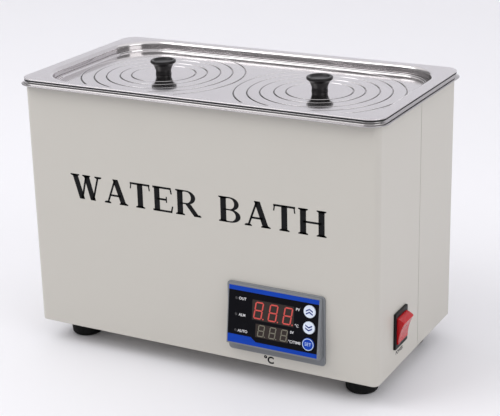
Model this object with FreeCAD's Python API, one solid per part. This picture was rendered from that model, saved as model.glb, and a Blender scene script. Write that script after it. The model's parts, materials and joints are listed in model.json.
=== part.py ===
import FreeCAD, Part
import math
import os

# Two-hole laboratory water bath: a painted cabinet with a deep-drawn tank, nested ring lids,
# a temperature controller on the front and a lit rocker switch on the right side.
# Lengths are millimetres.  The origin is on the bench under the middle of the cabinet:
# +X is to the right of someone who faces the controls, +Y is away from them, +Z is up.

Vector = FreeCAD.Vector
UP = Vector(0, 0, 1)

# Cabinet
FOOT_HEIGHT = 19.5
BODY_HALF_X = 160.0
BODY_HALF_Y = 81.7
BODY_CORNER = 5.5
SHEET = 1.0
OUT_TURNED_LIP = 0.4
BOTTOM_FLANGE = 10.0
SEAM_Y = 3.2
SEAM_GAP = 0.7
LAP_WIDTH = 14.0
CORNER_RELIEF = 6.0
BASE_THICKNESS = 1.2
BASE_EDGE_HEIGHT = 9.0

# Rim: tank flange on a gasket on a stainless trim frame
RIM_TOP = 238.2
FLANGE_HALF_X = 162.5
FLANGE_HALF_Y = 86.4
FLANGE_CORNER = 13.0
GASKET_THICKNESS = 1.3
TRIM_THICKNESS = 1.0
TRIM_OVERHANG = 2.4
TRIM_BOTTOM = 232.5
TRIM_LIP = 0.9

# Tank
TANK_SHEET = 0.7
NECK_HALF_X = 150.5
NECK_HALF_Y = 78.0
NECK_CORNER = 38.0
NECK_ROUND = 3.0
LEDGE_DEPTH = 7.2
LEDGE_WIDTH = 2.8
TANK_FLOOR = 93.5
TANK_FLOOR_ROUND = 12.0

# Cover plate and nested rings
DECK_TOP = 230.7
HOLE_SPACING = 147.0
RING_RADII = [69.4, 58.4, 48.0, 36.5, 26.8]
RING_SHEET = 0.8
RING_SEAT = 3.2
RING_GAP = 0.6
SEAT_SLOPE = 0.7

# Knobs
KNOB_HEIGHT = 12.4
KNOB_BORE_DEPTH = 8.0
KNOB_WASHER = 0.8
KNOB_SCREW_RADIUS = 2.0

# Shelf, heater and probe inside the tank
SHELF_TOP = 126.5
SHELF_HALF_X = 142.0
SHELF_HALF_Y = 68.0
SHELF_HOLE_RADIUS = 4.0
SHELF_HOLE_PITCH = 16.0
HEATER_RADIUS = 4.0
HEATER_LEG_X = -118.0
HEATER_LEG_Y = 32.0
PROBE_PLACE = Vector(118.0, 30.0, 0.0)

# Controller, with its front face leaning back
CONTROLLER_X = 72.7
CONTROLLER_Z = 59.6
FACE_LEAN = 7.3
FACE_CENTRE = Vector(72.2, -88.1, 63.3)
FACE_HALF_U = 40.0
FACE_HALF_V = 24.0
FILM = 0.3
CASE_WALL = 2.2
CASE_RIM = 1.7
CASE_FLANGE = 2.0
CASE_FLANGE_HALF_X = 43.3
CASE_FLANGE_HALF_Z = 29.8
WEDGE_HALF_X = 41.6
WEDGE_Z = (37.9, 88.6)
KEY_U = 32.2
KEY_HEIGHTS = {"key_up": 13.5, "key_down": 0.2, "key_set": -13.3}
KEY_RADIUS = 5.1
KEY_PROUD = 0.8
KEY_TRAVEL = 0.5
LED_U = -33.0
LED_HEIGHTS = [13.6, 0.1, -13.4]
BOARD_DEPTH = 10.0

# Rocker switch
SWITCH_Y = -36.7
SWITCH_Z = 53.9
BEZEL_PROUD = 2.0
ROCKER_RADIUS = 11.3
ROCKER_HALF_WIDTH = 9.85
ROCKER_TILT = 15.0

# Feet
FOOT_X = 133.7
FOOT_Y = 50.5
FOOT_RADIUS = 14.5
FOOT_WELL = 10.5

# Wiring and mains entry
WIRE_RADIUS = 1.1
WIRE_BEND = 5.5
GLAND_PLACE = Vector(-105.0, BODY_HALF_Y, 51.5)

BODY_TOP = RIM_TOP - TANK_SHEET - GASKET_THICKNESS - TRIM_THICKNESS
LEDGE_TOP = RIM_TOP - LEDGE_DEPTH
BASE_BOTTOM = FOOT_HEIGHT + SHEET
BASE_TOP = BASE_BOTTOM + BASE_THICKNESS
TANK_BOTTOM = TANK_FLOOR - TANK_SHEET


# ---- Shape helpers ----

def outline(corners, place):
    """Closed wire through corners (a, b) or (a, b, fillet radius), set in space by place(a, b)."""
    stations = []
    for index, corner in enumerate(corners):
        here = Vector(corner[0], corner[1], 0)
        fillet = corner[2] if len(corner) > 2 else 0
        if not fillet:
            stations.append((here, None, here))
            continue
        last = corners[index - 1]
        following = corners[(index + 1) % len(corners)]
        back = (Vector(last[0], last[1], 0) - here).normalize()
        ahead = (Vector(following[0], following[1], 0) - here).normalize()
        half_angle = back.getAngle(ahead) / 2
        reach = fillet / math.tan(half_angle)
        inward = (back + ahead).normalize()
        middle = here + inward * (fillet / math.sin(half_angle) - fillet)
        stations.append((here + back * reach, middle, here + ahead * reach))
    edges = []
    for index, (start, middle, end) in enumerate(stations):
        if middle is not None:
            points = [place(point.x, point.y) for point in (start, middle, end)]
            edges.append(Part.Arc(*points).toShape())
        onward = stations[(index + 1) % len(stations)][0]
        if (onward - end).Length > 1e-6:
            edges.append(Part.makeLine(place(end.x, end.y), place(onward.x, onward.y)))
    return Part.Wire(edges)


def box(x_range, y_range, z_range):
    """Block between the given limits."""
    size = [high - low for low, high in (x_range, y_range, z_range)]
    return Part.makeBox(*size, Vector(x_range[0], y_range[0], z_range[0]))


def rod(radius, start, end):
    """Round bar from start to end."""
    return Part.makeCylinder(radius, (end - start).Length, start, end - start)


def rectangle(half_a, half_b, fillet):
    """Corners of a rounded rectangle about the origin."""
    return [(-half_a, -half_b, fillet), (half_a, -half_b, fillet),
            (half_a, half_b, fillet), (-half_a, half_b, fillet)]


def level_plate(corners, z_range):
    """Plate with the given plan between two heights."""
    face = Part.Face(outline(corners, lambda x, y: Vector(x, y, z_range[0])))
    return face.extrude(UP * (z_range[1] - z_range[0]))


def turned(corners, centre):
    """Solid turned about the vertical line through centre, from corners (radius, height)."""
    face = Part.Face(outline(corners, lambda r, z: centre + Vector(r, 0, z)))
    return face.revolve(centre, UP, 360)


def joined(shapes):
    """One solid made of touching or overlapping shapes."""
    return shapes[0].multiFuse(shapes[1:]).removeSplitter().Solids[0]


def without(shape, tools):
    """The shape with every tool cut away, as one solid."""
    return shape.cut(Part.makeCompound(tools)).Solids[0]


def group(shapes):
    """Several loose solids kept as one file."""
    return Part.makeCompound(shapes)


def carried_round(corners, half_x, half_y, corner_radius):
    """Profile of corners (outward offset, height) carried round a rounded rectangle."""
    near_x = half_x - corner_radius
    near_y = half_y - corner_radius
    centres = [Vector(near_x, near_y, 0), Vector(-near_x, near_y, 0),
               Vector(-near_x, -near_y, 0), Vector(near_x, -near_y, 0)]
    outwards = [Vector(1, 0, 0), Vector(0, 1, 0), Vector(-1, 0, 0), Vector(0, -1, 0)]
    pieces = []
    for index, (centre, outward) in enumerate(zip(centres, outwards)):
        face = Part.Face(outline(
            corners, lambda a, z: centre + outward * (corner_radius + a) + Vector(0, 0, z)))
        pieces.append(face.extrude(centres[index - 1] - centre))
        pieces.append(face.revolve(centre, UP, 90))
    return joined(pieces)


def bent_tube(points, bend_radius, tube_radius):
    """Round bar along straight runs that are joined by tangent arcs."""
    edges = []
    start = points[0]
    for before, corner, after in zip(points, points[1:], points[2:]):
        back = (before - corner).normalize()
        ahead = (after - corner).normalize()
        half_angle = back.getAngle(ahead) / 2
        reach = bend_radius / math.tan(half_angle)
        inward = (back + ahead).normalize()
        middle = corner + inward * (bend_radius / math.sin(half_angle) - bend_radius)
        edges.append(Part.makeLine(start, corner + back * reach))
        edges.append(Part.Arc(corner + back * reach, middle, corner + ahead * reach).toShape())
        start = corner + ahead * reach
    edges.append(Part.makeLine(start, points[-1]))
    section = Part.Wire(Part.makeCircle(tube_radius, points[0], points[1] - points[0]))
    return Part.Wire(edges).makePipeShell([section], True, False)


def pan_screw(place, head_radius, head_height, shank_radius, length):
    """Screw pointing up, with the top of its head at place."""
    head = [(0, -head_height), (head_radius, -head_height, head_height * 0.45),
            (head_radius, 0), (shank_radius, 0), (shank_radius, length, 0.3), (0, length)]
    slot = box((-head_radius, head_radius), (-0.4, 0.4), (-head_height - 1, -head_height * 0.6))
    return turned(head, Vector()).cut(slot).translated(place)


def washer(place, outer, inner, thickness):
    """Flat ring lying on place."""
    return turned([(inner, 0), (outer, 0), (outer, thickness), (inner, thickness)], place)


def hexagon_nut(place, across_flats, bore, height):
    """Hexagon nut standing on place, its bore upright."""
    corner = across_flats / math.sqrt(3)
    points = [(corner * math.cos(turn * math.pi / 3), corner * math.sin(turn * math.pi / 3))
              for turn in range(6)]
    body = level_plate(points, (0, height))
    return body.cut(Part.makeCylinder(bore, height)).translated(place)


# ---- Cabinet ----

def cabinet_wall():
    """Closed wall of the cabinet, turned out at the top and in at the bottom."""
    profile = [(-SHEET, FOOT_HEIGHT), (0, FOOT_HEIGHT, 0.9), (0, BODY_TOP - SHEET, 0.4),
               (OUT_TURNED_LIP, BODY_TOP - SHEET), (OUT_TURNED_LIP, BODY_TOP),
               (-SHEET, BODY_TOP, 0.9)]
    wall = carried_round(profile, BODY_HALF_X, BODY_HALF_Y, BODY_CORNER)
    flange_z = (FOOT_HEIGHT, FOOT_HEIGHT + SHEET)
    outer = level_plate(
        rectangle(BODY_HALF_X - SHEET / 2, BODY_HALF_Y - SHEET / 2, BODY_CORNER - SHEET / 2),
        (FOOT_HEIGHT + SHEET * 0.4, FOOT_HEIGHT + SHEET))
    inner = level_plate(
        rectangle(BODY_HALF_X - SHEET - BOTTOM_FLANGE, BODY_HALF_Y - SHEET - BOTTOM_FLANGE, 2),
        (flange_z[0] - 1, flange_z[1] + 1))
    reliefs = []
    for side_x in (-1, 1):
        for side_y in (-1, 1):
            middle = Vector(side_x * BODY_HALF_X, side_y * BODY_HALF_Y, 0)
            reliefs.append(box((middle.x - CORNER_RELIEF, middle.x + CORNER_RELIEF),
                               (middle.y - CORNER_RELIEF, middle.y + CORNER_RELIEF),
                               (flange_z[0] - 1, flange_z[1] + 1)))
    return joined([wall, outer.cut(Part.makeCompound([inner] + reliefs))])


def base_screw_places():
    """Where the base plate is screwed to the cabinet's bottom flanges."""
    row = BODY_HALF_Y - SHEET - BOTTOM_FLANGE / 2
    return [Vector(x, side * row, 0) for x in (-120.0, 0.0, 120.0) for side in (-1, 1)]


def base_screw_holes():
    """Clearance holes through the flanges and the base plate."""
    return [rod(1.7, place + UP * (FOOT_HEIGHT - 1), place + UP * (BASE_TOP + 1))
            for place in base_screw_places()]


def front_shell(wall):
    """Front panel and the front half of both sides."""
    keep = box((-200, 200), (-120, SEAM_Y), (0, 300))
    controller = box((CONTROLLER_X - 40.0, CONTROLLER_X + 40.0), (-90, -60),
                     (CONTROLLER_Z - 25.7, CONTROLLER_Z + 25.7))
    switch = box((150, 170), (SWITCH_Y - 11.6, SWITCH_Y + 11.6),
                 (SWITCH_Z - 14.2, SWITCH_Z + 14.2))
    return without(wall.common(keep).Solids[0], [controller, switch] + base_screw_holes())


def rear_shell(wall):
    """Back panel and the rear half of both sides, with laps that reach behind the front shell."""
    keep = box((-200, 200), (SEAM_Y + SEAM_GAP, 120), (0, 300))
    pieces = [wall.common(keep).Solids[0]]
    inner_face = BODY_HALF_X - SHEET
    lap_z = (FOOT_HEIGHT + SHEET + BASE_EDGE_HEIGHT + 1.5, BODY_TOP - 2)
    for side in (-1, 1):
        near = sorted((side * (inner_face - SHEET - 0.1), side * (inner_face - 0.1)))
        joint = sorted((side * (inner_face - SHEET - 0.1), side * (inner_face + 0.5)))
        front_edge = SEAM_Y + SEAM_GAP - LAP_WIDTH
        pieces.append(box(near, (front_edge, SEAM_Y + SEAM_GAP + 4), lap_z))
        pieces.append(box(joint, (SEAM_Y + SEAM_GAP, SEAM_Y + SEAM_GAP + 4), lap_z))
    gland_hole = rod(6.4, GLAND_PLACE + Vector(0, -10, 0), GLAND_PLACE + Vector(0, 10, 0))
    return without(joined(pieces), [gland_hole] + base_screw_holes())


def foot_places():
    """Plan positions of the four feet."""
    return {"foot_front_left": Vector(-FOOT_X, -FOOT_Y, 0),
            "foot_front_right": Vector(FOOT_X, -FOOT_Y, 0),
            "foot_rear_left": Vector(-FOOT_X, FOOT_Y, 0),
            "foot_rear_right": Vector(FOOT_X, FOOT_Y, 0)}


def base_plate():
    """Bottom sheet with turned-up edges and two rows of cooling slots."""
    clearance = 0.4
    half_x = BODY_HALF_X - SHEET - clearance
    half_y = BODY_HALF_Y - SHEET - clearance
    corner = BODY_CORNER - SHEET - clearance
    floor = level_plate(rectangle(half_x - 0.5, half_y - 0.5, corner - 0.5), (BASE_BOTTOM, BASE_TOP))
    edge = carried_round([(-BASE_THICKNESS, BASE_BOTTOM), (0, BASE_BOTTOM, 1.0),
                          (0, BASE_BOTTOM + BASE_EDGE_HEIGHT),
                          (-BASE_THICKNESS, BASE_BOTTOM + BASE_EDGE_HEIGHT)],
                         half_x, half_y, corner)
    slots = []
    for row in (-1, 1):
        for index in range(9):
            middle = Vector(-56 + 14 * index, row * 34, 0)
            slot = level_plate(rectangle(2.0, 16.0, 1.9), (BASE_BOTTOM - 1, BASE_TOP + 1))
            slots.append(slot.translated(middle))
    screw_holes = [rod(2.3, place + UP * (BASE_BOTTOM - 1), place + UP * (BASE_TOP + 1))
                   for place in foot_places().values()]
    return without(joined([floor, edge]), slots + screw_holes + base_screw_holes())


def foot(place):
    """Tapered rubber foot with a screw well in its underside."""
    profile = [(5.2, 0, 0.6), (FOOT_RADIUS - 1.4, 0, 3.0), (FOOT_RADIUS, BASE_BOTTOM, 0.6),
               (2.3, BASE_BOTTOM), (2.3, FOOT_WELL), (5.2, FOOT_WELL)]
    return turned(profile, place)


# ---- Rim and tank ----

def top_frame():
    """Stainless trim: flat top, upright skirt and a lip that flares out over the cabinet."""
    inner = BODY_HALF_Y - 0.9 - FLANGE_HALF_Y
    lip_top = TRIM_BOTTOM + TRIM_LIP
    profile = [(inner, BODY_TOP), (inner, BODY_TOP + TRIM_THICKNESS),
               (-0.3, BODY_TOP + TRIM_THICKNESS, 0.7), (0.1, lip_top + 0.6, 0.8),
               (TRIM_OVERHANG, lip_top, 0.4), (TRIM_OVERHANG, TRIM_BOTTOM, 0.35),
               (-0.9, TRIM_BOTTOM + 0.5, 0.4), (-1.25, BODY_TOP, 0.3)]
    return carried_round(profile, FLANGE_HALF_X, FLANGE_HALF_Y, FLANGE_CORNER)


def rim_gasket():
    """Black strip between the trim frame and the tank's flange."""
    low = BODY_TOP + TRIM_THICKNESS
    high = low + GASKET_THICKNESS
    profile = [(-5.0, low), (-0.2, low), (-0.2, high), (-5.0, high)]
    return carried_round(profile, FLANGE_HALF_X, FLANGE_HALF_Y, FLANGE_CORNER)


def tank_rim():
    """Wide flange, short neck and the ledge that carries the cover."""
    ledge_bottom = LEDGE_TOP - TANK_SHEET
    flange_bottom = RIM_TOP - TANK_SHEET
    flange_start = NECK_ROUND + 0.5
    profile = [(flange_start, RIM_TOP), (0, RIM_TOP, NECK_ROUND), (0, LEDGE_TOP, 0.4),
               (-LEDGE_WIDTH, LEDGE_TOP, 0.5), (-LEDGE_WIDTH, ledge_bottom),
               (TANK_SHEET, ledge_bottom, 1.0), (TANK_SHEET, flange_bottom, NECK_ROUND - TANK_SHEET),
               (flange_start, flange_bottom)]
    neck = carried_round(profile, NECK_HALF_X, NECK_HALF_Y, NECK_CORNER)
    flange = level_plate(rectangle(FLANGE_HALF_X, FLANGE_HALF_Y, FLANGE_CORNER),
                         (flange_bottom, RIM_TOP))
    top_edges = [edge for edge in flange.Edges if all(v.Z > RIM_TOP - 0.01 for v in edge.Vertexes)]
    flange = flange.makeFillet(0.3, top_edges)
    mouth_x = NECK_HALF_X + NECK_ROUND
    mouth_y = NECK_HALF_Y + NECK_ROUND
    mouth = level_plate(rectangle(mouth_x, mouth_y, NECK_CORNER + NECK_ROUND),
                        (flange_bottom - 1, RIM_TOP + 1))
    return joined([neck, without(flange, [mouth])])


def tank():
    """Walls and floor of the tank, welded under the ledge."""
    inner = -LEDGE_WIDTH
    outer = inner + TANK_SHEET
    floor_edge = inner - TANK_FLOOR_ROUND - 1
    ledge_bottom = LEDGE_TOP - TANK_SHEET
    profile = [(inner, ledge_bottom), (inner, TANK_FLOOR, TANK_FLOOR_ROUND),
               (floor_edge, TANK_FLOOR), (floor_edge, TANK_BOTTOM),
               (outer, TANK_BOTTOM, TANK_FLOOR_ROUND + TANK_SHEET), (outer, ledge_bottom)]
    wall = carried_round(profile, NECK_HALF_X, NECK_HALF_Y, NECK_CORNER)
    inset = TANK_FLOOR_ROUND - inner
    floor = level_plate(rectangle(NECK_HALF_X - inset, NECK_HALF_Y - inset, NECK_CORNER - inset),
                        (TANK_BOTTOM, TANK_FLOOR))
    low = UP * (TANK_BOTTOM - 1)
    high = UP * (TANK_FLOOR + 1)
    holes = [rod(6.2, place + low, place + high) for place in heater_places()]
    holes.append(rod(4.2, PROBE_PLACE + low, PROBE_PLACE + high))
    return without(joined([wall, floor]), holes)


# ---- Heater, probe and shelf ----

def heater_places():
    """Where the heater's two legs go through the tank's floor."""
    return [Vector(HEATER_LEG_X, side * HEATER_LEG_Y, 0) for side in (-1, 1)]


def heater_tube():
    """Sheathed element: two legs up through the floor and one long hairpin above it."""
    level = TANK_FLOOR + 17
    far_x = 105.0
    front, back = heater_places()
    points = [front + UP * (TANK_BOTTOM - 14), front + UP * level,
              Vector(far_x, -HEATER_LEG_Y, level), Vector(far_x, HEATER_LEG_Y, level),
              back + UP * level, back + UP * (TANK_BOTTOM - 14)]
    return bent_tube(points, 11.0, HEATER_RADIUS)


def bush(place, bore, thread, flange, flange_height, floor_level, drop):
    """Flanged bush through the tank's floor, its flange inside on a seal."""
    profile = [(bore, floor_level - drop), (thread, floor_level - drop, 0.5),
               (thread, floor_level), (flange, floor_level),
               (flange, floor_level + flange_height, 0.8), (bore, floor_level + flange_height)]
    return turned(profile, place)


def shelf():
    """Perforated plate on four folded legs."""
    plate = level_plate(rectangle(SHELF_HALF_X, SHELF_HALF_Y, 28), (SHELF_TOP - SHEET, SHELF_TOP))
    pieces = [plate]
    for side_x in (-1, 1):
        for side_y in (-1, 1):
            leg_x = side_x * 112.0
            leg_y = side_y * 53.0
            leg = sorted((leg_x, leg_x - side_x * SHEET))
            toe = sorted((leg_x, leg_x - side_x * 7))
            width = (leg_y - 8, leg_y + 8)
            pieces.append(box(leg, width, (TANK_FLOOR, SHELF_TOP - SHEET / 2)))
            pieces.append(box(toe, width, (TANK_FLOOR, TANK_FLOOR + SHEET)))
    holes = []
    for column in range(-7, 8):
        for row in range(-3, 4):
            place = Vector(column * SHELF_HOLE_PITCH, row * SHELF_HOLE_PITCH, 0)
            holes.append(rod(SHELF_HOLE_RADIUS, place + UP * (SHELF_TOP - 2), place + UP * (SHELF_TOP + 1)))
    return without(joined(pieces), holes)


# ---- Cover and ring lids ----

def hole_places():
    """Middles of the two round openings."""
    return {"left": Vector(-HOLE_SPACING / 2, 0, DECK_TOP),
            "right": Vector(HOLE_SPACING / 2, 0, DECK_TOP)}


def seat_profile(radius, next_radius):
    """Half section of a flat ring, let down inside its inner edge to seat the next one."""
    seat = next_radius + RING_GAP
    inner = next_radius - RING_SEAT
    low = -2 * RING_SHEET
    return [(radius, 0, 0.2), (radius, -RING_SHEET, 0.15), (seat + SEAT_SLOPE + 0.9, -RING_SHEET, 0.3),
            (seat + SEAT_SLOPE + 0.2, low, 0.4), (inner, low, 0.2), (inner, -RING_SHEET, 0.2),
            (seat, -RING_SHEET, 0.15), (seat + SEAT_SLOPE, 0, 0.45)]


def cover_plate():
    """Pressed cover: a rim on the tank's ledge and a sunken deck with two seats for the rings."""
    edge_gap = 0.5
    rim_top = LEDGE_TOP + SHEET
    skirt = -LEDGE_WIDTH + 0.1
    deck_edge = -LEDGE_WIDTH - 2.8
    deck_bottom = DECK_TOP - SHEET
    profile = [(0, LEDGE_TOP), (0, rim_top, 0.35), (-LEDGE_WIDTH - 0.5, rim_top, 0.5),
               (-LEDGE_WIDTH - 0.9, DECK_TOP, 0.45), (deck_edge, DECK_TOP), (deck_edge, deck_bottom),
               (skirt, deck_bottom, 0.8), (skirt, LEDGE_TOP, 0.2)]
    outer_x = NECK_HALF_X - edge_gap
    outer_y = NECK_HALF_Y - edge_gap
    corner = NECK_CORNER - edge_gap
    wall = carried_round(profile, outer_x, outer_y, corner)
    inset = -deck_edge - 0.1
    deck = level_plate(rectangle(outer_x - inset, outer_y - inset, corner - inset),
                       (deck_bottom, DECK_TOP))
    margin = RING_RADII[0] + RING_GAP + SEAT_SLOPE + 1.6
    places = hole_places().values()
    holes = [rod(margin - 0.1, place + UP * -5, place + UP * 5) for place in places]
    seats = [turned(seat_profile(margin, RING_RADII[0]), place) for place in places]
    return joined([without(joined([wall, deck]), holes)] + seats)


def lid_ring(place, radius, next_radius):
    """One lift-out ring."""
    return turned(seat_profile(radius, next_radius), place)


def lid_disc(place):
    """Middle lid, with a hole for the knob's screw."""
    radius = RING_RADII[-1]
    bore = KNOB_SCREW_RADIUS + 0.2
    profile = [(bore, -RING_SHEET), (radius, -RING_SHEET, 0.15), (radius, 0, 0.2), (bore, 0)]
    return turned(profile, place)


def knob(place):
    """Moulded knob that widens from its foot to a dished top with a rolled rim."""
    bore = KNOB_SCREW_RADIUS + 0.05
    profile = [(bore, 0), (6.8, 0, 0.4), (6.4, 3.2, 6), (8.3, 8.2, 5), (10.9, 10.3, 0.7),
               (10.9, KNOB_HEIGHT, 1.0), (8.6, KNOB_HEIGHT, 0.7), (7.4, KNOB_HEIGHT - 1.5, 0.9),
               (0, KNOB_HEIGHT - 1.5), (0, KNOB_BORE_DEPTH), (bore, KNOB_BORE_DEPTH)]
    return turned(profile, place)


# ---- Controller ----

def on_face(shape):
    """Shape drawn with X across, Z up and the outside at -Y, set on the leaning face."""
    lean = FreeCAD.Rotation(Vector(1, 0, 0), -FACE_LEAN)
    return shape.transformGeometry(FreeCAD.Placement(FACE_CENTRE, lean).toMatrix())


def face_block(u_range, v_range, depth_range):
    """Block on the face; depth is measured inward from the face."""
    return box(u_range, depth_range, v_range)


def face_disc(u, v, radius, depth_range):
    """Round bar square to the face, between two depths inward from it."""
    return rod(radius, Vector(u, depth_range[0], v), Vector(u, depth_range[1], v))


def window_blocks(depth_range):
    """Blocks of the two display windows."""
    return {"pv_display": face_block((-18.6, 18.6), (-2.1, 14.9), depth_range),
            "sv_display": face_block((-15.0, 14.2), (-16.2, -4.8), depth_range)}


def face_openings(depth_range):
    """Everything that passes through the front of the case."""
    openings = list(window_blocks(depth_range).values())
    openings += [face_disc(KEY_U, v, KEY_RADIUS + 0.3, depth_range) for v in KEY_HEIGHTS.values()]
    openings += [face_disc(LED_U, v, 1.2, depth_range) for v in LED_HEIGHTS]
    return openings


def controller_case():
    """Front of the controller: a flange on the panel and a wedge that leans back."""
    front = -BODY_HALF_Y
    flange_front = front - CASE_FLANGE
    flange = Part.Face(outline(
        rectangle(CASE_FLANGE_HALF_X, CASE_FLANGE_HALF_Z, 3.0),
        lambda x, z: Vector(CONTROLLER_X + x, front, CONTROLLER_Z + z)))
    flange = flange.extrude(Vector(0, -CASE_FLANGE, 0))
    flange = flange.makeFillet(0.7, [edge for edge in flange.Edges
                                     if all(abs(v.Y - flange_front) < 0.01 for v in edge.Vertexes)])
    slope = math.tan(math.radians(FACE_LEAN))
    low_y, high_y = [FACE_CENTRE.y + (z - FACE_CENTRE.z) * slope for z in WEDGE_Z]
    section = [(front, WEDGE_Z[0]), (low_y, WEDGE_Z[0]), (high_y, WEDGE_Z[1]), (front, WEDGE_Z[1])]
    wedge = Part.Face(outline(section, lambda y, z: Vector(CONTROLLER_X - WEDGE_HALF_X, y, z)))
    wedge = wedge.extrude(Vector(2 * WEDGE_HALF_X, 0, 0))
    rim = [edge for edge in wedge.Edges if all(v.Y < flange_front for v in edge.Vertexes)]
    wedge = wedge.makeFillet(0.9, rim)
    recess = on_face(face_block((-FACE_HALF_U, FACE_HALF_U), (-FACE_HALF_V, FACE_HALF_V), (-5, FILM)))
    cavity = on_face(face_block((-FACE_HALF_U + CASE_RIM, FACE_HALF_U - CASE_RIM),
                                (-FACE_HALF_V + CASE_RIM, FACE_HALF_V - CASE_RIM),
                                (FILM + CASE_WALL, 40)))
    openings = [on_face(tool) for tool in face_openings((-3, 12))]
    shell = flange.fuse(wedge).removeSplitter().Solids[0]
    return without(shell, [recess, cavity] + openings)


def controller_face():
    """Printed film in the wedge's recess, with openings for displays, keys and lamps."""
    film = face_block((-FACE_HALF_U + 0.05, FACE_HALF_U - 0.05),
                      (-FACE_HALF_V + 0.05, FACE_HALF_V - 0.05), (0, FILM))
    return on_face(without(film, face_openings((-1, 1))))


def displays():
    """Two display modules that reach from the board to the film."""
    modules = window_blocks((0.1, BOARD_DEPTH))
    return {name: on_face(block) for name, block in modules.items()}


def indicator_leds():
    """Three lamps beside the displays."""
    return group([on_face(face_disc(LED_U, v, 1.1, (0.1, BOARD_DEPTH))) for v in LED_HEIGHTS])


def key(v):
    """Push key: a round cap with a retaining flange behind the case wall."""
    wall_back = FILM + CASE_WALL
    cap = face_disc(KEY_U, v, KEY_RADIUS, (-KEY_PROUD, wall_back + 0.6))
    front_edge = [edge for edge in cap.Edges if all(abs(p.Y + KEY_PROUD) < 0.01 for p in edge.Vertexes)]
    cap = cap.makeFillet(0.35, front_edge)
    flange = face_disc(KEY_U, v, KEY_RADIUS + 0.9, (wall_back + 0.3, wall_back + 1.2))
    return on_face(joined([cap, flange]))


def control_board():
    """Circuit board square to the face, behind the displays."""
    return on_face(face_block((-37.0, 37.0), (-21.0, 21.0), (BOARD_DEPTH, BOARD_DEPTH + 1.6)))


def key_switches():
    """Three tactile switches on the board, one behind each key."""
    switches = []
    for v in KEY_HEIGHTS.values():
        body = face_block((KEY_U - 3, KEY_U + 3), (v - 3, v + 3), (BOARD_DEPTH - 3.4, BOARD_DEPTH))
        plunger = face_disc(KEY_U, v, 1.7, (FILM + CASE_WALL + 1.2 + KEY_TRAVEL + 0.1, BOARD_DEPTH - 3))
        switches.append(on_face(joined([body, plunger])))
    return group(switches)


def controller_rear_case():
    """Box behind the panel that holds the controller's power board and relay."""
    front = -BODY_HALF_Y
    depth = 68.0
    half_x, half_z, wall = 39.5, 25.2, 1.6
    outer = box((CONTROLLER_X - half_x, CONTROLLER_X + half_x), (front, front + depth),
                (CONTROLLER_Z - half_z, CONTROLLER_Z + half_z))
    inner = box((CONTROLLER_X - half_x + wall, CONTROLLER_X + half_x - wall),
                (front - 1, front + depth - wall),
                (CONTROLLER_Z - half_z + wall, CONTROLLER_Z + half_z - wall))
    vents = [box((CONTROLLER_X - 30 + 12 * index, CONTROLLER_X - 27 + 12 * index),
                 (front + 20, front + 52), (CONTROLLER_Z + 20, CONTROLLER_Z + 30)) for index in range(6)]
    return without(outer, [inner] + vents)


def controller_terminals():
    """Terminal strip on the back of the controller, with a screw over each way."""
    back = -BODY_HALF_Y + 68.0
    strip = box((CONTROLLER_X - 32, CONTROLLER_X + 32), (back, back + 9),
                (CONTROLLER_Z - 8, CONTROLLER_Z + 4))
    wells = [rod(2.6, Vector(CONTROLLER_X - 28 + 8 * index, back + 6, CONTROLLER_Z - 2),
                 Vector(CONTROLLER_X - 28 + 8 * index, back + 10, CONTROLLER_Z - 2)) for index in range(8)]
    return without(strip, wells)


def controller_clamps():
    """Two sliding clips that press the controller against the inside of the panel."""
    clamps = []
    panel_back = -BODY_HALF_Y + SHEET
    for side in (-1, 1):
        near = CONTROLLER_X + side * 39.6
        arm = box(sorted((near, near + side * 2.0)), (panel_back, panel_back + 34),
                  (CONTROLLER_Z - 7, CONTROLLER_Z + 7))
        pad = box(sorted((near, near + side * 5.0)), (panel_back, panel_back + 3),
                  (CONTROLLER_Z - 7, CONTROLLER_Z + 7))
        clamps.append(joined([arm, pad]))
    return group(clamps)


# ---- Rocker switch ----

def switch_housing():
    """Black frame on the side panel with the switch's box behind it."""
    panel = BODY_HALF_X
    opening = (10.25, 11.7)
    wall = 1.2
    bezel = Part.Face(outline(
        rectangle(12.75, 15.5, 1.2),
        lambda y, z: Vector(panel, SWITCH_Y + y, SWITCH_Z + z))).extrude(Vector(BEZEL_PROUD, 0, 0))
    front = panel + BEZEL_PROUD
    bezel = bezel.makeFillet(0.6, [edge for edge in bezel.Edges
                                   if all(abs(v.X - front) < 0.01 for v in edge.Vertexes)])
    body = box((panel - 23, panel + 0.5), (SWITCH_Y - opening[0] - wall, SWITCH_Y + opening[0] + wall),
               (SWITCH_Z - opening[1] - wall, SWITCH_Z + opening[1] + wall))
    hollow = box((panel - 23 + 2, panel + 10), (SWITCH_Y - opening[0], SWITCH_Y + opening[0]),
                 (SWITCH_Z - opening[1], SWITCH_Z + opening[1]))
    pin_reach = opening[0] + 1.0
    pin_holes = rod(1.6, Vector(panel, SWITCH_Y - pin_reach, SWITCH_Z),
                    Vector(panel, SWITCH_Y + pin_reach, SWITCH_Z))
    return without(joined([bezel, body]), [hollow, pin_holes])


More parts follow.
